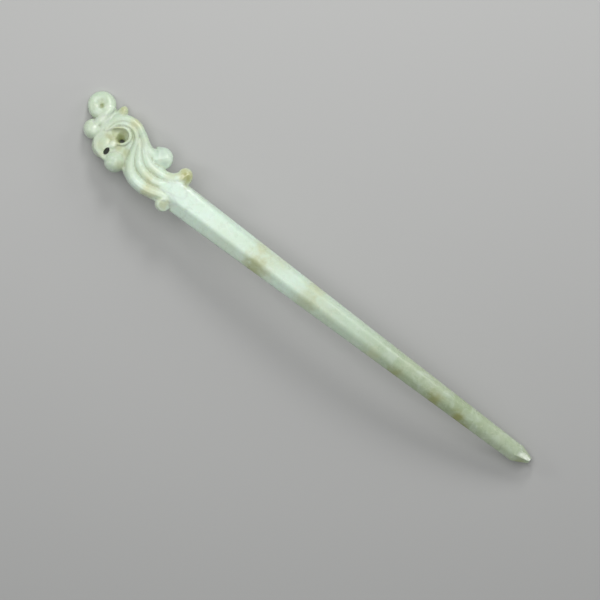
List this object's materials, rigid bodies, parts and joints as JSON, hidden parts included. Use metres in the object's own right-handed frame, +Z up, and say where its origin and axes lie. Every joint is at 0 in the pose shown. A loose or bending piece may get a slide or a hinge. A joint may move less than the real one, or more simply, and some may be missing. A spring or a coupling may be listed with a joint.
{
  "type": "hair pin",
  "caption": "Bow-shaped stick hair pin of carved pale stone, with a faceted tapering shank, a blunt point and a head of scrolls, curling locks and a pearl.",
  "frame": {"origin": "middle of the whole length and width, on the plane that the pin stands on", "axes": "+X runs from the carved head to the point, +Z up out of the carved face, +Y across the pin towards the side that the crest nub and the back horn stand out on"},
  "size_m": [0.1698, 0.0189, 0.0178],
  "materials": {
    "jade": "polished, waxy, slightly translucent pale green-white stone",
    "jade_skin": "polished stone with honey-brown tint from the rind of the pebble"
  },
  "bodies": {
    "root": {"shank": "jade", "shank_point": "jade", "head_back": "jade", "top_scroll": "jade", "side_lobe": "jade", "crest_nub": "jade_skin", "crown_band": "jade", "crest_lock": "jade", "brow_ridge": "jade", "eye_ring": "jade", "cheek_plate": "jade", "pearl": "jade", "upper_lock": "jade", "middle_lock": "jade", "lower_lock": "jade", "belly_bead": "jade"}
  },
  "joints": []
}
